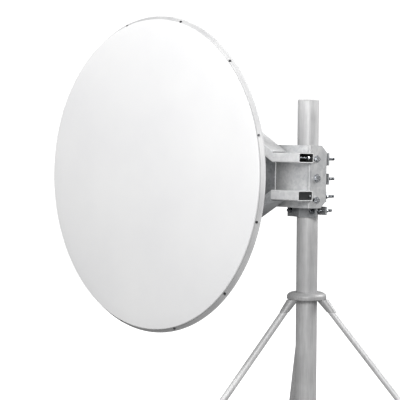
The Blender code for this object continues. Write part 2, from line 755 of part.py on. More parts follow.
def main():
    clearScene()
    materials = makeMaterials()
    head = makeAxis("azimuth_axis", (0.0, 0.0, PIVOT_Z))
    bpy.context.view_layer.update()
    antenna = makeAxis("elevation_axis", (0.0, PIVOT_Y, PIVOT_Z), head)
    addMast(materials)
    addCollar(materials)
    for name, heading in LEG_HEADINGS.items():
        addLeg(name, heading, materials)
    saddleWing = addSaddle(materials, head)
    addJaws(materials, head, saddleWing)
    addBolts(materials, head)
    addBracket(materials, antenna)
    addGusset(materials, antenna)
    addArm("upper", 1, materials, antenna)
    addArm("lower", -1, materials, antenna)
    addArmPlug(materials, antenna)
    addAdjustScrew(materials, antenna)
    addStandoffs(materials, antenna)
    addDish(materials, antenna)
    antenna.rotation_euler.x = math.radians(-REST_ELEVATION)


main()
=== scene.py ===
# Parabolic dish antenna with a flat radome, clamped beside a galvanised tripod mast.
import json
import math

import bmesh
import bpy
from mathutils import Matrix, Vector


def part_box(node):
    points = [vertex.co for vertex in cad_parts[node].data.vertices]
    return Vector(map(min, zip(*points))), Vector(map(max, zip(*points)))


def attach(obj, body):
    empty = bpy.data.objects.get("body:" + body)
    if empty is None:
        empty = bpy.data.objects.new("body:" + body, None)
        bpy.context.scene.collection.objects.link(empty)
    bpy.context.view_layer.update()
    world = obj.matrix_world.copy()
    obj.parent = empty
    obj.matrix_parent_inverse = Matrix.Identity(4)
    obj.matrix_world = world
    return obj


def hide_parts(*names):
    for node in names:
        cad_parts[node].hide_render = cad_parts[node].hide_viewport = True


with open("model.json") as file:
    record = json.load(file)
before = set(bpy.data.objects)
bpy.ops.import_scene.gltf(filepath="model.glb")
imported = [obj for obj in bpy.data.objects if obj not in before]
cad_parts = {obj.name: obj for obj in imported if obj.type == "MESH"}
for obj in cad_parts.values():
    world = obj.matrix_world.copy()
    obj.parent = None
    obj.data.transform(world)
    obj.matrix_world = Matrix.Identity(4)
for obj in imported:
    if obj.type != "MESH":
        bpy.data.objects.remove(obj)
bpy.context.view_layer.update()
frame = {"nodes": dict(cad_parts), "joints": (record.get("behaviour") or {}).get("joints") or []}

joints = {joint["name"]: joint for joint in frame["joints"]}
headPivot = Vector(joints["elevation"]["pos_m"])
restTilt = -math.radians(sum(joints["elevation"]["range_deg"]) / 2)  # the dish rests tipped up by this
tilted = (
    Matrix.Translation(headPivot) @ Matrix.Rotation(-restTilt, 4, "X") @ Matrix.Translation(-headPivot))
upright = Matrix.Identity(4)
backward = Matrix.Rotation(math.radians(-90), 4, "X")  # turns local Z to +Y, the dish's back


# Colour and node helpers
def linear(hexCode):
    values = [int(hexCode[i:i + 2], 16) / 255 for i in (1, 3, 5)]
    return [v / 12.92 if v <= 0.04045 else ((v + 0.055) / 1.055) ** 2.4 for v in values] + [1.0]


def addNode(tree, kind, settings=None, links=None):
    node = tree.nodes.new(kind)
    for key, value in (settings or {}).items():
        if isinstance(key, int) or key in node.inputs:
            node.inputs[key].default_value = value
        else:
            setattr(node, key, value)
    for key, source in (links or {}).items():
        tree.links.new(source, node.inputs[key])
    return node


def startMaterial(name, roughness, metallic=0.0):
    material = bpy.data.materials.new(name)
    material.use_nodes = True
    tree = material.node_tree
    tree.nodes.clear()
    shader = addNode(tree, "ShaderNodeBsdfPrincipled", {"Roughness": roughness, "Metallic": metallic})
    addNode(tree, "ShaderNodeOutputMaterial", None, {"Surface": shader.outputs[0]})
    place = addNode(tree, "ShaderNodeTexCoord").outputs["Object"]
    return material, tree, shader, place


def ramp(tree, source, stops):
    node = addNode(tree, "ShaderNodeValToRGB", None, {"Fac": source})
    while len(node.color_ramp.elements) < len(stops):
        node.color_ramp.elements.new(0.5)
    for element, (position, colour) in zip(node.color_ramp.elements, stops):
        element.position = position
        element.color = linear(colour)
    return node.outputs["Color"]


def spread(tree, source, low, high, fromLow=0.0, fromHigh=1.0):
    settings = {"From Min": fromLow, "From Max": fromHigh, "To Min": low, "To Max": high}
    return addNode(tree, "ShaderNodeMapRange", settings, {"Value": source}).outputs["Result"]


def relief(tree, shader, height, distance, strength=1.0):
    settings = {"Strength": strength, "Distance": distance}
    bump = addNode(tree, "ShaderNodeBump", settings, {"Height": height})
    tree.links.new(bump.outputs["Normal"], shader.inputs["Normal"])


def noise(tree, place, size, detail=3.0, roughness=0.55):
    settings = {"Scale": 1 / size, "Detail": detail, "Roughness": roughness}
    return addNode(tree, "ShaderNodeTexNoise", settings, {"Vector": place}).outputs["Fac"]


def mixColours(tree, share, first, second, mode="MIX"):
    node = addNode(tree, "ShaderNodeMix", {"data_type": "RGBA", "blend_type": mode})
    for key, value in ((0, share), (6, first), (7, second)):
        if isinstance(value, bpy.types.NodeSocket):
            tree.links.new(value, node.inputs[key])
        else:
            node.inputs[key].default_value = value
    return node.outputs[2]


# Hot-dip galvanised steel: zinc crystals of 8 to 15 mm that each reflect a little differently,
# with dull patches where the coat has weathered. The copies differ in tone as painted light and painted
# shade.
def galvanisedSheet(name, dark, middle, light, metallic, shadeSpan=None):
    look = {"crystal": 0.011, "patch": 0.070, "grain": 0.0016, "roughness": (0.30, 0.46)}
    material, tree, shader, place = startMaterial(name, 0.4, metallic)
    wobble = addNode(tree, "ShaderNodeTexNoise", {"Scale": 1 / 0.02, "Detail": 2.0}, {"Vector": place})
    bent = mixColours(tree, 0.012, place, wobble.outputs["Color"])
    cells = addNode(tree, "ShaderNodeTexVoronoi", {"Scale": 1 / look["crystal"]}, {"Vector": bent})
    crystal = addNode(tree, "ShaderNodeSeparateColor", None, {"Color": cells.outputs["Color"]})
    tone = crystal.outputs["Red"]
    patches = noise(tree, place, look["patch"], 4.0)
    crystalColour = ramp(tree, tone, [(0.0, dark), (0.5, middle), (1.0, light)])
    patchColour = ramp(tree, patches, [(0.35, dark), (0.65, light)])
    coat = mixColours(tree, 0.5, crystalColour, patchColour)
    if shadeSpan:  # painted shade: greyer towards the dish, where the dish shades the metal, and a little greyer again at the outer flange
        across = addNode(tree, "ShaderNodeSeparateXYZ", None, {"Vector": place}).outputs["X"]
        shadeLayer = ramp(tree, spread(tree, across, 0.0, 1.0, *shadeSpan), [
            (0.0, "#B4B4B4"), (0.55, "#FFFFFF"), (0.93, "#FFFFFF"), (1.0, "#DADADA")])
        coat = mixColours(tree, 1.0, coat, shadeLayer, "MULTIPLY")
    tree.links.new(coat, shader.inputs["Base Color"])
    low, high = look["roughness"]
    rough = addNode(
        tree, "ShaderNodeMath", {"operation": "MULTIPLY_ADD", 1: 0.12},
        {0: crystal.outputs["Green"], 2: spread(tree, patches, low, high)})
    tree.links.new(rough.outputs[0], shader.inputs["Roughness"])
    relief(tree, shader, noise(tree, place, look["grain"], 2.0), 0.00012, 0.6)
    return material


# Galvanised pipe: drawn tube with a thin even zinc coat, duller and lighter than the sheet,
# with faint lengthwise streaks and a tone that shifts a little with the height, painted shade that is darkest
# a little below the bracket.
def galvanisedPipe(name, low, middle, high):
    look = {"streak": 0.006, "patch": 0.14, "shadeFrom": 0.80, "shadeTo": 1.75}
    material, tree, shader, place = startMaterial(name, 0.5, 0.3)
    stretched = addNode(tree, "ShaderNodeMapping", {"Scale": (1.0, 1.0, 0.06)}, {"Vector": place})
    streaks = noise(tree, stretched.outputs["Vector"], look["streak"], 3.0)
    patches = noise(tree, place, look["patch"], 4.0)
    height = addNode(tree, "ShaderNodeSeparateXYZ", None, {"Vector": place}).outputs["Z"]
    # painted shade: the tone dips a little below the bracket, where the dish shades the mast
    heightShade = spread(tree, height, 0.0, 1.0, look["shadeFrom"], look["shadeTo"])
    base = ramp(tree, heightShade, [(0.0, low), (0.35, middle), (0.62, high)])
    streaked = ramp(tree, streaks, [(0.3, "#E9E9E9"), (0.7, "#FFFFFF")])
    patched = ramp(tree, patches, [(0.3, "#E2E2E3"), (0.7, "#FFFFFF")])
    worn = mixColours(tree, 1.0, base, streaked, "MULTIPLY")
    tree.links.new(mixColours(tree, 1.0, worn, patched, "MULTIPLY"), shader.inputs["Base Color"])
    tree.links.new(spread(tree, patches, 0.42, 0.60), shader.inputs["Roughness"])
    relief(tree, shader, streaks, 0.00015, 0.5)
    return material


# Zinc plate on screws, nuts and rods: mirror-like metal with a faint blue cast,
# darker where oil and dirt stay in the thread.
def zincPlate(name, dark, light):
    material, tree, shader, place = startMaterial(name, 0.25, 1.0)
    spots = noise(tree, place, 0.008, 3.0)
    colour = ramp(tree, spots, [(0.3, dark), (0.7, light)])
    tree.links.new(colour, shader.inputs["Base Color"])
    tree.links.new(spread(tree, spots, 0.18, 0.36), shader.inputs["Roughness"])
    relief(tree, shader, noise(tree, place, 0.0007, 1.0), 0.00004, 0.4)
    return material


# Radome skin: vacuum-formed white plastic sheet, satin, with a faint orange-peel
# and patches of dust that dull it a little.
def radomeSkin():
    look = {"peel": 0.004, "dust": 0.35}
    material, tree, shader, place = startMaterial("satin white radome skin", 0.42)
    shader.inputs["IOR"].default_value = 1.49
    dust = noise(tree, place, look["dust"], 5.0)
    tree.links.new(ramp(tree, dust, [(0.3, "#E3E3E4"), (0.7, "#E9E9E9")]), shader.inputs["Base Color"])
    tree.links.new(spread(tree, dust, 0.38, 0.50), shader.inputs["Roughness"])
    relief(tree, shader, noise(tree, place, look["peel"], 2.0), 0.00006, 0.5)
    return material


# Powder-coated steel and aluminium: white enamel with a fine texture, greyer than the radome.
def whiteEnamel(name, dark, light):
    look = {"peel": 0.0025, "grime": 0.09}
    material, tree, shader, place = startMaterial(name, 0.38)
    shader.inputs["IOR"].default_value = 1.5
    grime = noise(tree, place, look["grime"], 5.0)
    tree.links.new(ramp(tree, grime, [(0.3, dark), (0.7, light)]), shader.inputs["Base Color"])
    tree.links.new(spread(tree, grime, 0.32, 0.48), shader.inputs["Roughness"])
    relief(tree, shader, noise(tree, place, look["peel"], 2.0), 0.00008, 0.6)
    return material


# Moulded black nylon: end plug, matt with a faint grain.
def blackNylon():
    material, tree, shader, place = startMaterial("black nylon", 0.5)
    grain = noise(tree, place, 0.0015, 2.0)
    tree.links.new(ramp(tree, grain, [(0.3, "#141415"), (0.7, "#222223")]), shader.inputs["Base Color"])
    relief(tree, shader, grain, 0.00008, 0.5)
    return material


# Black-oxide steel: the dark heads of the rim screws, with a soft oily sheen.
def blackOxide():
    material, tree, shader, place = startMaterial("black oxide steel", 0.42, 0.6)
    tone = noise(tree, place, 0.003, 2.0)
    tree.links.new(ramp(tree, tone, [(0.3, "#2A2A2C"), (0.7, "#58585B")]), shader.inputs["Base Color"])
    return material


# Grey polyethylene cap on the mast: soft satin moulding.
def greyPolyethylene():
    material, tree, shader, place = startMaterial("grey polyethylene", 0.5)
    tone = noise(tree, place, 0.05, 4.0)
    tree.links.new(ramp(tree, tone, [(0.3, "#D2D2D2"), (0.7, "#E2E2E2")]), shader.inputs["Base Color"])
    relief(tree, shader, noise(tree, place, 0.002, 2.0), 0.00006, 0.5)
    return material


# Studio floor: pale matt board, lit from within so that it runs into the white backdrop.
def paleBoard():
    material, tree, shader, place = startMaterial("pale matt board", 0.9)
    tone = noise(tree, place, 2.5, 2.0)
    tree.links.new(ramp(tree, tone, [(0.3, "#F4F4F4"), (0.7, "#F8F8F8")]), shader.inputs["Base Color"])
    shader.inputs["Emission Color"].default_value = linear("#FFFFFF")
    shader.inputs["Emission Strength"].default_value = 1.0
    return material


sheetZinc = galvanisedSheet("hot-dip galvanised sheet", "#C6C8CA", "#DADBDC", "#F0F0F1", 0.6)
# Bracket: painted shade greys the front plate towards the dish, where the dish shades it
bracketShadeZinc = galvanisedSheet(
    "hot-dip galvanised bracket, painted shade", "#D2D4D6", "#E6E7E8", "#F6F6F6", 0.4, (-0.085, 0.093))
# Lower splayed tube: darker tones and the shade span, painted shade on a tube that faces down behind the dish
splayShadeZinc = galvanisedSheet(
    "galvanised tube, painted shade behind the dish", "#B4B6B8", "#C6C8CA", "#DADCDE", 0.5, (-0.16, 0.05))
# Arms and upper splayed tube: lighter tones than the sheet, painted light on the lit tube fronts
tubeLitZinc = galvanisedSheet("galvanised tube, painted light", "#E0E1E2", "#ECEDEE", "#F8F8F8", 0.2)
# Gusset, saddle, cheeks and jaws: darker tones as painted shade, for plates behind and under the dish
shadedPlateZinc = galvanisedSheet("galvanised plate, painted shade", "#8E9092", "#A4A6A8", "#BCBEC0", 0.7)
pipeZinc = galvanisedPipe("galvanised mast pipe", "#E0E0E0", "#DADADA", "#DEDEDE")
legZinc = galvanisedPipe("galvanised leg tube", "#EEEEEE", "#F0F0F0", "#F4F4F4")
# Collar and leg sockets: darker tones than the mast, painted shade
collarShadeZinc = galvanisedPipe("galvanised leg collar, painted shade", "#C4C4C4", "#CACACA", "#D4D4D4")
brightZinc = zincPlate("bright zinc plate", "#B9BCC0", "#E3E5E8")
threadZinc = zincPlate("oiled zinc thread", "#6E7174", "#9A9DA1")
# Dark lining for the open tube end: painted shade
boreShadeZinc = galvanisedSheet("painted shade inside the tube", "#343536", "#414243", "#525354", 0.3)
radomeWhite = radomeSkin()
enamel = whiteEnamel("white powder coat", "#DADADB", "#E9E9E9")
# Rim band: white powder coat made greyer as painted shade on its side band
rimShadeEnamel = whiteEnamel("rim powder coat, painted shade", "#BCBCBD", "#CBCBCB")
nylon = blackNylon()
blackSteel = blackOxide()
capGrey = greyPolyethylene()
print("materials made")


# Mesh helpers
def makeObject(name, mesh, material, sharpAngle=35):
    data = bpy.data.meshes.new(name)
    mesh.to_mesh(data)
    mesh.free()
    data.shade_smooth()
    data.set_sharp_from_angle(angle=math.radians(sharpAngle))
    obj = bpy.data.objects.new(name, data)
    data.materials.append(material)
    bpy.context.scene.collection.objects.link(obj)
    return obj


def carry(obj, body, slot, *nodes):
    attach(obj, body)
    if nodes:
        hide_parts(*nodes)
    return obj


def levelBox(node, place=tilted):
    back = place.inverted()
    points = [back @ vertex.co for vertex in frame["nodes"][node].data.vertices]
    low = Vector([min(point[i] for point in points) for i in range(3)])
    high = Vector([max(point[i] for point in points) for i in range(3)])
    return low, high


def levelRadius(node):
    # Radius of a round piece that faces along Y
    low, high = levelBox(node)
    return (high.z - low.z) / 2


def turned(name, profile, place, material, segments=192, sharpAngle=35):
    # The profile is a closed loop of (radius, distance along the axis)
    mesh = bmesh.new()
    rings = []
    for radius, along in profile:
        count = segments if radius > 0 else 1
        rings.append([
            mesh.verts.new((
                radius * math.cos(2 * math.pi * i / segments),
                radius * math.sin(2 * math.pi * i / segments), along))
            for i in range(count)])
    for k, ring in enumerate(rings):
        following = rings[(k + 1) % len(rings)]
        if len(ring) == 1 and len(following) == 1:
            continue
        for i in range(segments):
            j = (i + 1) % segments
            corners = [ring[i % len(ring)], ring[j % len(ring)]]
            corners += [following[j % len(following)], following[i % len(following)]]
            mesh.faces.new(list(dict.fromkeys(corners)))
    bmesh.ops.recalc_face_normals(mesh, faces=mesh.faces)
    mesh.transform(place)
    return makeObject(name, mesh, material, sharpAngle)


def arc(centreRadius, centreAlong, size, start, end, steps=5):
    # Points of a rounded edge, from one angle to another in degrees
    points = []
    for i in range(steps + 1):
        angle = math.radians(start + (end - start) * i / steps)
        points.append((centreRadius + size * math.cos(angle), centreAlong + size * math.sin(angle)))
    return points


def roundedRing(place, width, height, radius, steps=5):
    # A rectangle with round corners; place(u, v) gives the point in space
    points = []
    for signU, signV, start in ((1, 1, 0), (-1, 1, 90), (-1, -1, 180), (1, -1, 270)):
        for i in range(steps + 1):
            angle = math.radians(start + 90 * i / steps)
            u = signU * (width / 2 - radius) + radius * math.cos(angle)
            v = signV * (height / 2 - radius) + radius * math.sin(angle)
            points.append(place(u, v))
    return points


def skinRings(mesh, rings, closed=True):
    loops = [[mesh.verts.new(point) for point in ring] for ring in rings]
    count = len(loops[0])
    pairs = len(loops) if closed else len(loops) - 1
    for k in range(pairs):
        loop = loops[k]
        following = loops[(k + 1) % len(loops)]
        for i in range(count):
            j = (i + 1) % count
            mesh.faces.new((loop[i], loop[j], following[j], following[i]))
    if not closed:
        mesh.faces.new(loops[0])
        mesh.faces.new(list(reversed(loops[-1])))
    bmesh.ops.recalc_face_normals(mesh, faces=mesh.faces)


def softened(node, material, body, slot, width=0.0012, segments=3):
    # A copy of a plain sheet-metal solid with its edges rounded over
    mesh = bmesh.new()
    mesh.from_mesh(frame["nodes"][node].data)
    bmesh.ops.remove_doubles(mesh, verts=mesh.verts, dist=0.00002)
    bmesh.ops.dissolve_limit(
        mesh, angle_limit=math.radians(1), verts=mesh.verts, edges=mesh.edges)
    obj = makeObject(node + "_formed", mesh, material)
    bevel = obj.modifiers.new("roundedEdges", "BEVEL")
    bevel.width = width
    bevel.segments = segments
    bevel.limit_method = "ANGLE"
    bevel.angle_limit = math.radians(40)
    bevel.harden_normals = True
    applyModifiers(obj)
    return carry(obj, body, slot, node)


def applyModifiers(obj):
    bpy.context.view_layer.update()
    done = bpy.data.meshes.new_from_object(obj.evaluated_get(bpy.context.evaluated_depsgraph_get()))
    obj.modifiers.clear()
    obj.data = done


# Geometry Nodes: one tree makes round and hexagonal heads with washers on marked points,
# the other one makes threads on marked points. Each point has its facing and its size.
def startTree(name, inputs):
    tree = bpy.data.node_groups.new(name, "GeometryNodeTree")
    tree.interface.new_socket("Geometry", in_out="INPUT", socket_type="NodeSocketGeometry")
    sockets = {}
    for label, kind in inputs:
        sockets[label] = tree.interface.new_socket(label, in_out="INPUT", socket_type=kind).identifier
    tree.interface.new_socket("Geometry", in_out="OUTPUT", socket_type="NodeSocketGeometry")
    return tree, addNode(tree, "NodeGroupInput").outputs, sockets


def placeOnPoints(tree, inputs, shape):
    facing = addNode(tree, "GeometryNodeInputNamedAttribute", {"data_type": "FLOAT_VECTOR", "Name": "facing"})
    size = addNode(tree, "GeometryNodeInputNamedAttribute", {"data_type": "FLOAT", "Name": "size"})
    turn = addNode(
        tree, "FunctionNodeAlignRotationToVector", {"axis": "Z"}, {"Vector": facing.outputs["Attribute"]})
    placed = addNode(tree, "GeometryNodeInstanceOnPoints", None, {
        "Points": inputs["Geometry"],
        "Instance": shape,
        "Rotation": turn.outputs["Rotation"],
        "Scale": size.outputs["Attribute"],
    })
    real = addNode(tree, "GeometryNodeRealizeInstances", None, {"Geometry": placed.outputs["Instances"]})
    painted = addNode(tree, "GeometryNodeSetMaterial", None, {
        "Geometry": real.outputs["Geometry"], "Material": inputs["Material"]})
    addNode(tree, "NodeGroupOutput", None, {"Geometry": painted.outputs["Geometry"]})


def shifted(tree, geometry, z):
    offset = addNode(tree, "ShaderNodeCombineXYZ", None, {"Z": z})
    moved = addNode(
        tree, "GeometryNodeTransform", None, {"Geometry": geometry, "Translation": offset.outputs["Vector"]})
    return moved.outputs["Geometry"]


def calculate(tree, operation, first, second):
    node = addNode(tree, "ShaderNodeMath", {"operation": operation})
    for i, value in enumerate((first, second)):
        if isinstance(value, bpy.types.NodeSocket):
            tree.links.new(value, node.inputs[i])
        else:
            node.inputs[i].default_value = value
    return node.outputs[0]


def headTree():
    # Lengths are in head radii: a head with a chamfered, dished top on a round washer
    tree, inputs, sockets = startTree("fastenerHeads", [
        ("Sides", "NodeSocketInt"), ("Head Height", "NodeSocketFloat"), ("Chamfer", "NodeSocketFloat"),
        ("Recess", "NodeSocketFloat"), ("Washer Radius", "NodeSocketFloat"),
        ("Washer Height", "NodeSocketFloat"), ("Material", "NodeSocketMaterial")])
    head = addNode(
        tree, "GeometryNodeMeshCone", {"Radius Top": 1.0, "Radius Bottom": 1.0},
        {"Vertices": inputs["Sides"], "Depth": inputs["Head Height"]})
    raised = addNode(tree, "GeometryNodeExtrudeMesh", {"mode": "FACES"}, {
        "Mesh": head.outputs["Mesh"], "Selection": head.outputs["Top"], "Offset Scale": inputs["Chamfer"]})
    narrowed = addNode(tree, "GeometryNodeScaleElements", {"Scale": 0.86}, {
        "Geometry": raised.outputs["Mesh"], "Selection": raised.outputs["Top"]})
    rim = addNode(tree, "GeometryNodeExtrudeMesh", {"mode": "FACES", "Offset Scale": 0.0}, {
        "Mesh": narrowed.outputs["Geometry"], "Selection": raised.outputs["Top"]})
    inner = addNode(tree, "GeometryNodeScaleElements", {"Scale": 0.62}, {
        "Geometry": rim.outputs["Mesh"], "Selection": rim.outputs["Top"]})
    sunk = calculate(tree, "MULTIPLY", inputs["Recess"], -1.0)
    dished = addNode(tree, "GeometryNodeExtrudeMesh", {"mode": "FACES"}, {
        "Mesh": inner.outputs["Geometry"], "Selection": rim.outputs["Top"], "Offset Scale": sunk})
    washer = addNode(tree, "GeometryNodeMeshCylinder", {"Vertices": 40}, {
        "Radius": inputs["Washer Radius"], "Depth": inputs["Washer Height"]})
    washerMiddle = calculate(tree, "MULTIPLY", inputs["Washer Height"], 0.5)
    joined = addNode(tree, "GeometryNodeJoinGeometry")
    tree.links.new(shifted(tree, dished.outputs["Mesh"], inputs["Washer Height"]), joined.inputs[0])
    tree.links.new(shifted(tree, washer.outputs["Mesh"], washerMiddle), joined.inputs[0])
    placeOnPoints(tree, inputs, joined.outputs["Geometry"])
    return tree, sockets


def threadTree():
    # Lengths are in metres: a core with a helical ridge round it
    tree, inputs, sockets = startTree("threads", [
        ("Radius", "NodeSocketFloat"), ("Length", "NodeSocketFloat"), ("Pitch", "NodeSocketFloat"),
        ("Material", "NodeSocketMaterial")])
    turns = calculate(tree, "DIVIDE", inputs["Length"], inputs["Pitch"])
    ridgeRadius = calculate(tree, "SUBTRACT", inputs["Radius"], calculate(
        tree, "MULTIPLY", inputs["Pitch"], 0.45))
    spiral = addNode(tree, "GeometryNodeCurveSpiral", {"Resolution": 12}, {
        "Rotations": turns, "Start Radius": ridgeRadius, "End Radius": ridgeRadius,
        "Height": inputs["Length"]})
    profile = addNode(tree, "GeometryNodeCurvePrimitiveCircle", {"Resolution": 4}, {
        "Radius": calculate(tree, "MULTIPLY", inputs["Pitch"], 0.45)})
    ridge = addNode(tree, "GeometryNodeCurveToMesh", {"Fill Caps": True}, {
        "Curve": spiral.outputs["Curve"], "Profile Curve": profile.outputs["Curve"]})
    core = addNode(tree, "GeometryNodeMeshCylinder", {"Vertices": 24}, {
        "Radius": ridgeRadius, "Depth": inputs["Length"]})
    coreMiddle = calculate(tree, "MULTIPLY", inputs["Length"], 0.5)
    joined = addNode(tree, "GeometryNodeJoinGeometry")
    tree.links.new(ridge.outputs["Mesh"], joined.inputs[0])
    tree.links.new(shifted(tree, core.outputs["Mesh"], coreMiddle), joined.inputs[0])
    placeOnPoints(tree, inputs, joined.outputs["Geometry"])
    return tree, sockets


headNodes, headSockets = headTree()
threadNodes, threadSockets = threadTree()


def growOn(name, points, nodes, sockets, values, material):
    # Points are (position, facing, size); the result is one plain mesh
    data = bpy.data.meshes.new(name)
    data.from_pydata([tuple(position) for position, _, _ in points], [], [])
    data.attributes.new("facing", "FLOAT_VECTOR", "POINT")
    data.attributes.new("size", "FLOAT", "POINT")
    for i, (_, direction, scale) in enumerate(points):
        data.attributes["facing"].data[i].vector = direction
        data.attributes["size"].data[i].value = scale
    obj = bpy.data.objects.new(name, data)
    modifier = obj.modifiers.new("grow", "NODES")
    modifier.node_group = nodes
    for label, value in {**values, "Material": material}.items():
        modifier[sockets[label]] = value
    bpy.context.scene.collection.objects.link(obj)
    applyModifiers(obj)
    obj.data.materials.clear()
    obj.data.materials.append(material)
    obj.data.shade_smooth()
    obj.data.set_sharp_from_angle(angle=math.radians(32))
    return obj


def placedPoints(points, place):
    turn = place.to_3x3()
    return [(place @ Vector(position), turn @ Vector(facing), size) for position, facing, size in points]


# Radome: a flat disc of formed sheet with a rolled edge
low, high = levelBox("radome")
dish = {
    "centre": Vector(((low.x + high.x) / 2, low.y, (low.z + high.z) / 2)),
    "radius": levelRadius("radome"),
    "thickness": high.y - low.y,
    "edge": 0.004,
    "screws": 12,
    "firstScrew": 15.0,
    "screwDepth": 0.0115,
    "screwRadius": 0.0046,
}
dishPlace = tilted @ Matrix.Translation(dish["centre"]) @ backward


def makeRadome():
    edge = dish["edge"]
    radius = dish["radius"]
    profile = [(0.0, 0.0)]
    profile += [(radius * i / 12, 0.0) for i in range(1, 12)]
    profile += arc(radius - edge, edge, edge, 270, 360, 8)
    profile += [(radius, dish["thickness"]), (radius - 0.003, dish["thickness"]), (0.0, dish["thickness"])]
    carry(turned("radome_skin", profile, dishPlace, radomeWhite, 256), "antenna", "white_radome", "radome")


# Rim: a flared band behind the radome, with a narrow groove between the two
low, high = levelBox("rim_band")
rim = {
    "front": low.y - dish["centre"].y,
    "back": high.y - dish["centre"].y,
    "radius": levelRadius("rim_band"),
    "throat": dish["radius"] - 0.001,
    "groove": 0.0024,
    "wall": 0.0035,
    "curl": 0.0022,
    "seat": 0.005,  # how far the rim reaches under the radome
    "shelf": 0.0045,
    "overlap": 0.016,
}


def rimRadius(depth):
    share = (depth - rim["front"]) / (rim["back"] - rim["front"])
    return rim["throat"] + (rim["radius"] - rim["throat"]) * share


def makeRim():
    shelf = rim["front"] + rim["shelf"]
    curl = rim["curl"]
    seat = dish["radius"] - rim["seat"]
    inner = levelRadius("reflector") - rim["overlap"]
    lip = rim["front"] + rim["groove"]
    profile = [(seat, rim["front"]), (seat, lip)]
    profile += [(rimRadius(lip) - 0.0012, lip), (rimRadius(lip), lip + 0.0008)]
    for i in range(1, 6):
        depth = lip + (rim["back"] - curl * 2 - lip) * i / 5
        profile.append((rimRadius(depth), depth))
    profile += arc(rim["radius"] - curl, rim["back"] - curl, curl, -20, 180, 8)
    profile += [(rimRadius(shelf) - rim["wall"], shelf), (inner, shelf), (inner, rim["front"])]
    carry(turned("rim_shell", profile, dishPlace, rimShadeEnamel, 256), "antenna", "white_enamel", "rim_band")


def makeRimScrews():
    points = []
    flare = math.atan2(rim["radius"] - rim["throat"], rim["back"] - rim["front"])
    radius = rimRadius(dish["screwDepth"])
    for i in range(dish["screws"]):
        angle = math.radians(dish["firstScrew"] + 360 / dish["screws"] * i)
        outward = Vector((math.cos(angle), 0, math.sin(angle)))
        position = dish["centre"] + outward * radius + Vector((0, dish["screwDepth"], 0))
        facing = outward * math.cos(flare) - Vector((0, 1, 0)) * math.sin(flare)
        points.append((position, facing, dish["screwRadius"]))
    values = {"Sides": 20, "Head Height": 0.45, "Chamfer": 0.25, "Recess": 0.3,
              "Washer Radius": 1.12, "Washer Height": 0.12}
    obj = growOn("rim_screws", placedPoints(points, tilted), headNodes, headSockets, values, blackSteel)
    carry(obj, "antenna", "black_plastic")


# Reflector, back pan, boss and feed port behind the radome
def depths(node):
    # Where a piece starts and ends behind the radome's face
    low, high = levelBox(node)
    return low.y - dish["centre"].y, high.y - dish["centre"].y


bowl = {"radius": 0.612, "wall": 0.0025, "rings": 40}
bowl["lip"] = depths("reflector")[0]
bowl["deep"] = depths("reflector")[1] - bowl["wall"]


def bowlDepth(radius):
    return bowl["lip"] + (bowl["deep"] - bowl["lip"]) * (1 - (radius / bowl["radius"]) ** 2)


def makeReflector():
    outer = levelRadius("reflector")
    wall = bowl["wall"]
    radii = [bowl["radius"] * (1 - i / bowl["rings"]) for i in range(bowl["rings"])] + [0.0]
    inside = [(radius, bowlDepth(radius)) for radius in radii]
    outside = [(radius, depth + wall) for radius, depth in reversed(inside)]
    profile = [(outer, bowl["lip"] + wall), (outer, bowl["lip"])] + inside + outside
    carry(turned("reflector_bowl", profile, dishPlace, enamel, 192), "antenna", "white_enamel", "reflector")


def makeBackPan():
    pan = {"wall": 0.005, "hole": 0.085, "edge": 0.010, "bead": (0.62, 0.52), "beadDepth": 0.003,
           "gap": 0.0003}
    outer = levelRadius("back_pan")
    inner = outer - pan["wall"]
    back = depths("back_pan")[1]
    offset = bowl["wall"] + pan["gap"]
    beadOut, beadIn = [outer * share for share in pan["bead"]]
    slope = outer * 0.02
    profile = [(outer, bowlDepth(outer) + offset)]
    profile += arc(outer - pan["edge"], back - pan["edge"], pan["edge"], 0, 90, 8)
    profile += [(beadOut, back), (beadOut - slope, back - pan["beadDepth"])]
    profile += [(beadIn + slope, back - pan["beadDepth"]), (beadIn, back)]
    profile += [(pan["hole"], back), (pan["hole"], back - pan["wall"]), (inner, back - pan["wall"])]
    profile += [(inner, bowlDepth(inner) + offset)]
    carry(turned("pan_shell", profile, dishPlace, enamel, 192), "antenna", "white_enamel", "back_pan")


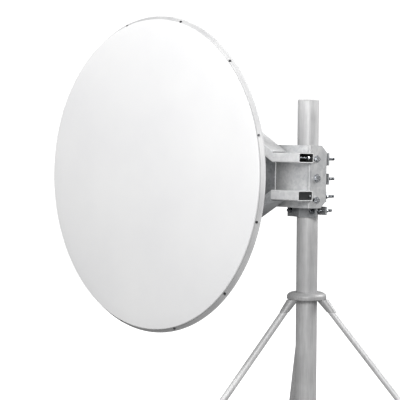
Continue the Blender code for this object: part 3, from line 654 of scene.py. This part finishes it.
def makeFeed():
    feed = {
        "edge": 0.006,
        "grooveOut": 0.052,
        "grooveIn": 0.044,
        "grooveDepth": 0.002,
        "flangeSheet": 0.010,
        "bore": 0.014,
        "boreDepth": 0.012,
        "bolts": 8,
        "boltCircle": 0.062,
        "boltRadius": 0.0055,
        "bevel": 0.001,
    }
    start, hub = depths("feed_boss")
    radius = levelRadius("feed_boss")
    edge = feed["edge"]
    slope = feed["grooveDepth"]
    profile = [(0.0, start), (radius, start)] + arc(radius - edge, hub - edge, edge, 0, 90, 6)
    profile += [(feed["grooveOut"], hub), (feed["grooveOut"] - slope, hub - slope)]
    profile += [(feed["grooveIn"] + slope, hub - slope), (feed["grooveIn"], hub), (0.0, hub)]
    carry(turned("feed_hub", profile, dishPlace, enamel, 96), "antenna", "white_enamel", "feed_boss")
    start, back = depths("feed_port")
    flange = levelRadius("feed_port")
    neck = flange / 1.5
    bevel = feed["bevel"]
    face = back - feed["flangeSheet"]
    bottom = back - feed["boreDepth"]
    profile = [(0.0, start), (neck, start), (neck, face - bevel), (neck + bevel, face)]
    profile += [(flange - bevel, face), (flange, face + bevel), (flange, back - bevel)]
    profile += [(flange - bevel, back), (feed["bore"], back), (feed["bore"], bottom), (0.0, bottom)]
    carry(turned("waveguide_flange", profile, dishPlace, brightZinc, 96), "antenna",
          "zinc_plated_steel", "feed_port")
    points = []
    for i in range(feed["bolts"]):
        angle = 2 * math.pi * (i + 0.5) / feed["bolts"]
        offset = Vector((feed["boltCircle"] * math.cos(angle), hub, feed["boltCircle"] * math.sin(angle)))
        points.append((dish["centre"] + offset, (0, 1, 0), feed["boltRadius"]))
    values = {"Sides": 6, "Head Height": 0.8, "Chamfer": 0.15, "Recess": 0.1,
              "Washer Radius": 1.5, "Washer Height": 0.22}
    obj = growOn("hub_bolts", placedPoints(points, tilted), headNodes, headSockets, values, brightZinc)
    carry(obj, "antenna", "zinc_plated_steel")


makeRadome()
makeRim()
makeRimScrews()
makeReflector()
makeBackPan()
makeFeed()
print("dish made")


# Elevation bracket and its arms: bent sheet and rolled rectangular tube
arms = {"slope": 0.577, "corner": 0.006, "wall": 0.003, "standoffCorner": 0.005}


def tubeBetween(name, x1, z1, x2, z2, y1, y2, height, nodeName, material):
    corner = arms["corner"]
    wall = arms["wall"]
    depth = y2 - y1
    middle = (y1 + y2) / 2

    def section(x, z, inset):
        return roundedRing(
            lambda u, v: (x, middle + u, z + v), depth - inset * 2, height - inset * 2, corner - inset)

    mesh = bmesh.new()
    skinRings(mesh, [section(x1, z1, 0), section(x2, z2, 0), section(x2, z2, wall), section(x1, z1, wall)])
    mesh.transform(tilted)
    obj = makeObject(name, mesh, material, 30)
    return carry(obj, "antenna", "galvanised_steel", nodeName)


def makeArms():
    for level, sign in (("upper", 1), ("lower", -1)):
        low, high = levelBox("arm_" + level)
        z = (low.z + high.z) / 2
        tubeBetween(
            "tube_" + level, low.x, z, high.x, z, low.y, high.y, high.z - low.z, "arm_" + level, tubeLitZinc)
        low, high = levelBox("splay_" + level)
        height = (high.z - low.z) - arms["slope"] * (high.x - low.x)
        near = low.z + height / 2 if sign > 0 else high.z - height / 2
        far = high.z - height / 2 if sign > 0 else low.z + height / 2
        # The lower splayed tube takes the darker copy: painted shade, as it faces down in the dish's shade
        tubeBetween(
            "splayed_tube_" + level, low.x, far, high.x, near, low.y, high.y, height, "splay_" + level,
            tubeLitZinc if sign > 0 else splayShadeZinc)


def makeBore():
    # The open end of the upper arm is dark inside: a thin dark lining of painted shade that ends on a wall
    # further in
    low, high = levelBox("arm_upper")
    middle = (low + high) / 2
    bore = {"inset": arms["wall"] + 0.0002, "shadeLayer": 0.0005, "deep": 0.055, "mouth": 0.0015}

    def section(x, inset):
        return roundedRing(
            lambda u, v: (x, middle.y + u, middle.z + v), high.y - low.y - inset * 2,
            high.z - low.z - inset * 2, arms["corner"] - arms["wall"])

    mouth = high.x - bore["mouth"]
    end = high.x - bore["deep"]
    mesh = bmesh.new()
    skinRings(mesh, [
        section(end - bore["shadeLayer"], bore["inset"]), section(mouth, bore["inset"]),
        section(mouth, bore["inset"] + bore["shadeLayer"]), section(end, bore["inset"] + bore["shadeLayer"])], False)
    mesh.transform(tilted)
    carry(makeObject("arm_bore_upper", mesh, boreShadeZinc, 30), "antenna", "galvanised_steel")


def makeStandoffs():
    for level in ("upper", "lower"):
        for side in ("left", "right"):
            node = "standoff_%s_%s" % (level, side)
            low, high = levelBox(node)
            middle = (low + high) / 2
            wall = arms["wall"]

            def section(y, inset):
                width = high.x - low.x - inset * 2
                return roundedRing(
                    lambda u, v: (middle.x + u, y, middle.z + v), width, width,
                    arms["standoffCorner"] - inset)

            mesh = bmesh.new()
            skinRings(mesh, [
                section(low.y, 0), section(high.y, 0), section(high.y, wall), section(low.y, wall)])
            mesh.transform(tilted)
            carry(makeObject(node + "_tube", mesh, sheetZinc, 30), "antenna", "galvanised_steel", node)


def makeJoiningBolts():
    # Heads behind the plates hold the arms and the standoffs; bolted flanges hold the standoffs to the pan
    join = {
        "stations": (-0.012, 0.030),
        "bolt": 0.0085,
        "flange": (0.072, 0.048),
        "flangeSheet": 0.004,
        "flangeBolt": 0.0050,
        "reach": (0.028, 0.013),
    }
    plateBack = levelBox("gusset_plate")[1].y
    heads = []
    flangeHeads = []
    for level in ("upper", "lower"):
        low, high = levelBox("arm_" + level)
        for x in join["stations"]:
            heads.append(((x, plateBack, (low.z + high.z) / 2), (0, 1, 0), join["bolt"]))
        for side in ("left", "right"):
            low, high = levelBox("standoff_%s_%s" % (level, side))
            middle = (low + high) / 2
            hole = high.x - low.x + 0.0006
            back = low.y + join["flangeSheet"]
            heads.append(((middle.x, plateBack, middle.z), (0, 1, 0), join["bolt"]))
            for signX in (-1, 1):
                for signZ in (-1, 1):
                    place = (middle.x + signX * join["reach"][0], back, middle.z + signZ * join["reach"][1])
                    flangeHeads.append((place, (0, 1, 0), join["flangeBolt"]))

            def section(y, width, height, corner):
                return roundedRing(lambda u, v: (middle.x + u, y, middle.z + v), width, height, corner)

            wide, tall = join["flange"]
            mesh = bmesh.new()
            skinRings(mesh, [
                section(low.y, wide, tall, arms["corner"]), section(back, wide, tall, arms["corner"]),
                section(back, hole, hole, arms["standoffCorner"]),
                section(low.y, hole, hole, arms["standoffCorner"])])
            mesh.transform(tilted)
            flange = makeObject("standoff_flange_%s_%s" % (level, side), mesh, sheetZinc, 30)
            carry(flange, "antenna", "galvanised_steel")
    values = {"Sides": 6, "Head Height": 0.6, "Chamfer": 0.12, "Recess": 0.05,
              "Washer Radius": 1.3, "Washer Height": 0.2}
    points = placedPoints(heads + flangeHeads, tilted)
    obj = growOn("joining_bolts", points, headNodes, headSockets, values, brightZinc)
    carry(obj, "antenna", "zinc_plated_steel")


def makePlug():
    plug = {"slack": 0.001, "corner": 0.0028, "lead": 0.002, "bevel": 0.001, "border": 0.006,
            "screwFromBack": 0.012, "screwRadius": 0.0042}
    low, high = levelBox("arm_plug_lower")
    middle = (low + high) / 2

    def section(x, inset):
        margin = (plug["slack"] + inset) * 2
        return roundedRing(
            lambda u, v: (x, middle.y + u, middle.z + v), high.y - low.y - margin, high.z - low.z - margin,
            plug["corner"])

    bevel = plug["bevel"]
    mesh = bmesh.new()
    skinRings(mesh, [
        section(low.x, plug["lead"]), section(low.x + plug["lead"], 0), section(high.x - bevel, 0),
        section(high.x, bevel), section(high.x, plug["border"]),
        section(high.x - bevel * 2, plug["border"] + bevel)], False)
    mesh.transform(tilted)
    carry(makeObject("end_plug", mesh, nylon), "antenna", "black_plastic", "arm_plug_lower")
    place = (high.x - bevel, high.y - plug["screwFromBack"], middle.z)
    points = placedPoints([(place, (1, 0, 0), plug["screwRadius"])], tilted)
    values = {"Sides": 16, "Head Height": 0.3, "Chamfer": 0.2, "Recess": 0.25,
              "Washer Radius": 1.1, "Washer Height": 0.08}
    obj = growOn("plug_screw", points, headNodes, headSockets, values, brightZinc)
    carry(obj, "antenna", "zinc_plated_steel")


def makeAdjustScrew():
    low, high = levelBox("adjusting_screw")
    x = (low.x + high.x) / 2
    z = (low.z + high.z) / 2
    size = {"radius": 0.006, "pitch": 0.00175, "nut": 0.0104, "nutFromBack": 0.026}
    points = placedPoints([((x, low.y, z), (0, 1, 0), 1.0)], tilted)
    values = {"Radius": size["radius"], "Length": high.y - low.y, "Pitch": size["pitch"]}
    obj = growOn("adjuster_thread", points, threadNodes, threadSockets, values, threadZinc)
    carry(obj, "antenna", "zinc_plated_steel", "adjusting_screw")
    nuts = [((x, high.y - size["nutFromBack"], z), (0, 1, 0), size["nut"])]
    values = {"Sides": 6, "Head Height": 0.75, "Chamfer": 0.12, "Recess": 0.05,
              "Washer Radius": 1.1, "Washer Height": 0.15}
    obj = growOn("adjuster_nuts", placedPoints(nuts, tilted), headNodes, headSockets, values, brightZinc)
    carry(obj, "antenna", "zinc_plated_steel")


softened("elevation_bracket", bracketShadeZinc, "antenna", "galvanised_steel", 0.0015)
# The gusset plate's darker tones are painted shade between the arms, behind the dish
softened("gusset_plate", shadedPlateZinc, "antenna", "galvanised_steel")
makeArms()
makeBore()
makeStandoffs()
makeJoiningBolts()
makePlug()
makeAdjustScrew()
print("bracket and arms made")


# Clamp saddle, cheeks and rear jaws on the mast
# Saddle, cheeks and jaws take the darker plate copy: painted shade under the bracket
for node in ("clamp_saddle", "saddle_cheek_left", "saddle_cheek_right"):
    softened(node, shadedPlateZinc, "mount_head", "galvanised_steel")
for node in ("rear_jaw_upper", "rear_jaw_middle", "rear_jaw_inner", "rear_jaw_lower"):
    softened(node, shadedPlateZinc, "mount_head", "galvanised_steel", 0.0015)

clamp = {"rodRadius": 0.006, "pitch": 0.00175, "nut": 0.0104}


def clampWing():
    # Front face of the saddle's wings and rear face of the jaws' wings, at the rods
    saddle = frame["nodes"]["clamp_saddle"].data.vertices
    edge = max(vertex.co.x for vertex in saddle)
    front = min(vertex.co.y for vertex in saddle if vertex.co.x > edge - 0.001)
    jaw = frame["nodes"]["rear_jaw_upper"].data.vertices
    edge = max(vertex.co.x for vertex in jaw)
    rear = max(vertex.co.y for vertex in jaw if vertex.co.x > edge - 0.001)
    return front, rear


def makeClampRods():
    front, rear = clampWing()
    nuts = []
    for level in ("upper", "middle", "inner", "lower"):
        rods = []
        nodes = []
        for side in ("left", "right"):
            node = "clamp_rod_%s_%s" % (level, side)
            nodes.append(node)
            low, high = levelBox(node, upright)
            x = (low.x + high.x) / 2
            z = (low.z + high.z) / 2
            length = high.y - low.y
            rods.append(((x, low.y, z), (0, 1, 0), 1.0))
            nuts.append(((x, front, z), (0, -1, 0), clamp["nut"]))
            nuts.append(((x, rear, z), (0, 1, 0), clamp["nut"]))
        values = {"Radius": clamp["rodRadius"], "Length": length, "Pitch": clamp["pitch"]}
        obj = growOn("clamp_threads_" + level, rods, threadNodes, threadSockets, values, threadZinc)
        carry(obj, "mount_head", "zinc_plated_steel", *nodes)
    values = {"Sides": 6, "Head Height": 0.72, "Chamfer": 0.14, "Recess": 0.06,
              "Washer Radius": 1.12, "Washer Height": 0.18}
    obj = growOn("clamp_nuts", nuts, headNodes, headSockets, values, threadZinc)
    carry(obj, "mount_head", "zinc_plated_steel")


def makeBracketBolts():
    bolt = {"headTop": 0.0105, "nutSeat": 0.0062, "nutShare": 0.86, "radius": 0.006, "length": 0.026,
            "pitch": 0.00175}
    heads = []
    nuts = []
    shanks = []
    nodes = []
    for name, headRadius, nutRadius in (
            ("pivot_bolt", 0.0135, 0.0118), ("lock_bolt_upper", 0.0115, 0.0102),
            ("lock_bolt_lower", 0.0115, 0.0102)):
        for side, sign in (("left", -1), ("right", 1)):
            node = "%s_%s" % (name, side)
            nodes.append(node)
            low, high = levelBox(node, upright)
            middle = (low + high) / 2
            outer = max(abs(low.x), abs(high.x))
            face = outer - bolt["headTop"]
            heads.append(((sign * face, middle.y, middle.z), (sign, 0, 0), headRadius))
            inner = min(abs(low.x), abs(high.x))
            seat = sign * (inner + bolt["nutSeat"])
            nuts.append(((seat, middle.y, middle.z), (-sign, 0, 0), nutRadius * bolt["nutShare"]))
            shanks.append(((sign * inner, middle.y, middle.z), (sign, 0, 0), 1.0))
    values = {"Sides": 6, "Head Height": 0.56, "Chamfer": 0.10, "Recess": 0.05,
              "Washer Radius": 1.28, "Washer Height": 0.2}
    obj = growOn("bracket_bolt_heads", heads, headNodes, headSockets, values, brightZinc)
    carry(obj, "mount_head", "zinc_plated_steel", *nodes)
    values = {"Sides": 6, "Head Height": 0.5, "Chamfer": 0.1, "Recess": 0.05,
              "Washer Radius": 1.0, "Washer Height": 0.1}
    obj = growOn("bracket_bolt_nuts", nuts, headNodes, headSockets, values, brightZinc)
    carry(obj, "mount_head", "zinc_plated_steel")
    values = {"Radius": bolt["radius"], "Length": bolt["length"], "Pitch": bolt["pitch"]}
    obj = growOn("bracket_bolt_shanks", shanks, threadNodes, threadSockets, values, threadZinc)
    carry(obj, "mount_head", "zinc_plated_steel")


makeClampRods()
makeBracketBolts()
print("clamps made")


# Mast, cap, collar, legs and feet
mast = {"wall": 0.004, "bevel": 0.0006, "gap": 0.0003, "capEdge": 0.004, "capTop": 0.002, "skirt": 0.003}


def makeMast():
    low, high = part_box("mast_pipe")
    radius = (high.x - low.x) / 2
    inner = radius - mast["wall"]
    bevel = mast["bevel"]
    under = high.z + mast["gap"]
    profile = [(radius, low.z), (radius, high.z - bevel), (radius - bevel, high.z)]
    profile += [(inner, high.z), (inner, low.z)]
    carry(turned("mast_tube", profile, upright, pipeZinc, 128), "stand", "galvanised_pipe", "mast_pipe")
    low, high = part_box("mast_cap")
    outer = (high.x - low.x) / 2
    edge = mast["capEdge"]
    skirt = inner - mast["gap"] * 2
    inside = skirt - mast["skirt"]
    profile = [(0.0, high.z), (outer * 0.6, high.z - 0.0003)]
    profile += arc(outer - edge, high.z - edge - 0.0005, edge, 80, 0, 6)
    profile += [(outer, under), (skirt, under), (skirt, low.z), (inside, low.z)]
    profile += [(inside, under + mast["capTop"]), (0.0, under + mast["capTop"])]
    carry(turned("mast_plug", profile, upright, capGrey, 96), "stand", "grey_plastic", "mast_cap")


def makeCollar():
    low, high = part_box("leg_collar")
    outer = (high.x - low.x) / 2
    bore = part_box("mast_pipe")[1].x + mast["gap"]
    drop = 0.020  # height and width of the rounded shoulder
    width = drop * 1.4
    profile = [(bore, high.z), (outer - width, high.z - 0.0005)]
    profile += [
        (outer - width + width * math.sin(math.radians(a)),
         high.z - drop + (drop - 0.0005) * math.cos(math.radians(a)))
        for a in range(10, 91, 8)]
    profile += [(outer, low.z + 0.001), (outer - 0.001, low.z), (bore, low.z)]
    carry(turned("collar_dome", profile, upright, collarShadeZinc, 128), "stand", "galvanised_pipe", "leg_collar")


def makeLegs():
    leg = {"radius": 0.0145, "wall": 0.003, "socket": 0.050, "flare": 0.006, "gap": 0.0003}
    radius = leg["radius"]
    for name in ("front", "right", "left"):
        points = [vertex.co.copy() for vertex in frame["nodes"]["leg_" + name].data.vertices]
        top = max(point.z for point in points)
        bottom = min(point.z for point in points)
        upper = [point for point in points if point.z > top - 0.0005]
        lower = [point for point in points if point.z < bottom + 0.0005]
        head = sum(upper, Vector()) / len(upper)
        foot = sum(lower, Vector()) / len(lower)
        slope = (foot - head) / (top - bottom)
        outward = Vector((slope.x, slope.y, 0)).normalized()
        across = Vector((-outward.y, outward.x, 0))
        stretch = math.sqrt(1 + slope.x ** 2 + slope.y ** 2)

        def ring(size, z):
            centre = Vector((head.x + slope.x * (top - z), head.y + slope.y * (top - z), z))
            count = 40
            return [
                centre + outward * (size * stretch * math.cos(2 * math.pi * i / count))
                + across * (size * math.sin(2 * math.pi * i / count)) for i in range(count)]

        mesh = bmesh.new()
        inner = radius - leg["wall"]
        skinRings(mesh, [ring(radius, bottom), ring(radius, top), ring(inner, top), ring(inner, bottom)])
        carry(makeObject("leg_tube_" + name, mesh, legZinc), "stand", "galvanised_pipe", "leg_" + name)
        mesh = bmesh.new()
        sleeve = radius + leg["gap"]
        mouth = top - leg["socket"]
        skinRings(mesh, [ring(sleeve, mouth), ring(radius + 0.002, mouth + 0.001),
                         ring(radius + leg["flare"], top), ring(sleeve, top)])
        carry(makeObject("leg_socket_" + name, mesh, collarShadeZinc), "stand", "galvanised_pipe")


def makeFeet():
    for name in ("front", "right", "left"):
        low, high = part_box("foot_plate_" + name)
        middle = (low + high) / 2
        radius = (high.x - low.x) / 2
        edge = 0.002
        profile = [(0.0, low.z), (radius - edge / 2, low.z), (radius, low.z + edge / 2)]
        profile += arc(radius - edge, high.z - edge, edge, 0, 90, 4)
        profile += [(0.0, high.z)]
        place = Matrix.Translation((middle.x, middle.y, 0))
        carry(turned("foot_disc_" + name, profile, place, sheetZinc, 64), "stand",
              "galvanised_steel", "foot_plate_" + name)


def makeAnchors():
    low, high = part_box("mast_base_plate")
    anchor = {"inset": 0.030, "nut": 0.0135, "stud": 0.007, "length": 0.026, "pitch": 0.002}
    x = high.x - anchor["inset"]
    y = high.y - anchor["inset"]
    places = [(-x, -y, high.z), (-x, y, high.z), (x, -y, high.z), (x, y, high.z)]
    points = [(place, (0, 0, 1), anchor["nut"]) for place in places]
    values = {"Sides": 6, "Head Height": 0.75, "Chamfer": 0.12, "Recess": 0.05,
              "Washer Radius": 1.35, "Washer Height": 0.2}
    carry(growOn("anchor_nuts", points, headNodes, headSockets, values, brightZinc),
          "stand", "zinc_plated_steel")
    studs = [(place, (0, 0, 1), 1.0) for place in places]
    values = {"Radius": anchor["stud"], "Length": anchor["length"], "Pitch": anchor["pitch"]}
    carry(growOn("anchor_studs", studs, threadNodes, threadSockets, values, brightZinc),
          "stand", "zinc_plated_steel")


softened("mast_base_plate", sheetZinc, "stand", "galvanised_steel", 0.001)
makeMast()
makeCollar()
makeLegs()
makeFeet()
makeAnchors()
print("stand made")


# Floor, light and camera
stage = {
    "floorRadius": 400.0,
    "softLight": 0.31,  # even light from all sides, as pale walls and floor throw it back
    "backdrop": 1.2,
}

lamps = {
    "key": {"power": 70.0, "size": (2.2, 1.5), "place": (-0.8, -3.4, 3.6), "aim": (-0.3, -0.6, 1.4)},
    "side": {"power": 72.0, "size": (1.0, 1.0), "place": (2.5, -2.7, 2.4), "aim": (0.0, -0.1, 1.4)},
    "crown": {"power": 17.0, "size": (1.4, 1.0), "place": (0.4, -1.9, 3.9), "aim": (-0.3, -0.5, 1.4)},
    "back": {"power": 78.0, "size": (1.5, 1.5), "place": (1.3, 2.2, 3.0), "aim": (-0.2, -0.2, 1.4)},
}


def makeFloor():
    mesh = bmesh.new()
    bmesh.ops.create_circle(mesh, cap_ends=True, segments=96, radius=stage["floorRadius"])
    floor = makeObject("floor", mesh, paleBoard())
    floor.visible_diffuse = False  # the world alone lights the object from below
    floor.visible_glossy = False


def makeLight():
    world = bpy.data.worlds.new("studio")
    bpy.context.scene.world = world
    world.use_nodes = True
    tree = world.node_tree
    tree.nodes.clear()
    white = linear("#FFFFFF")
    rays = addNode(tree, "ShaderNodeLightPath").outputs["Is Camera Ray"]
    light = addNode(tree, "ShaderNodeBackground", {"Color": white, "Strength": stage["softLight"]})
    backdrop = addNode(tree, "ShaderNodeBackground", {"Color": white, "Strength": stage["backdrop"]})
    both = addNode(
        tree, "ShaderNodeMixShader", None, {"Fac": rays, 1: light.outputs[0], 2: backdrop.outputs[0]})
    addNode(tree, "ShaderNodeOutputWorld", None, {"Surface": both.outputs[0]})

    for name, lamp in lamps.items():
        light = bpy.data.lights.new(name, "AREA")
        light.energy = lamp["power"]
        light.shape = "RECTANGLE"
        light.size, light.size_y = lamp["size"]
        obj = bpy.data.objects.new(name, light)
        obj.location = lamp["place"]
        aim = Vector(lamp["aim"]) - obj.location
        obj.rotation_euler = aim.to_track_quat("-Z", "Y").to_euler()
        bpy.context.scene.collection.objects.link(obj)


view = {
    "location": Vector((4.107, -4.480, 1.553)),
    "azimuth": 46.747,
    "pitch": -2.645,
    "roll": 0.34,
    "focalPixels": 1453.0,
    "framePixels": 400,
}


def makeCamera():
    azimuth = math.radians(view["azimuth"])
    pitch = math.radians(view["pitch"])
    roll = math.radians(view["roll"])
    forward = Vector((
        -math.sin(azimuth) * math.cos(pitch), math.cos(azimuth) * math.cos(pitch), math.sin(pitch)))
    right = Vector((math.cos(azimuth), math.sin(azimuth), 0.0))
    up = right.cross(forward)
    rolledRight = right * math.cos(roll) + up * math.sin(roll)
    rolledUp = up * math.cos(roll) - right * math.sin(roll)
    data = bpy.data.cameras.new("camera")
    data.sensor_width = 36.0
    data.lens = view["focalPixels"] / view["framePixels"] * data.sensor_width
    data.clip_end = 1000.0
    camera = bpy.data.objects.new("camera", data)
    turn = Matrix((rolledRight, rolledUp, -forward)).transposed().to_4x4()
    camera.matrix_world = Matrix.Translation(view["location"]) @ turn
    bpy.context.scene.collection.objects.link(camera)
    bpy.context.scene.camera = camera


makeFloor()
makeLight()
makeCamera()
bpy.context.scene.view_settings.view_transform = "Standard"
bpy.context.scene.view_settings.look = "None"
print("stage made")
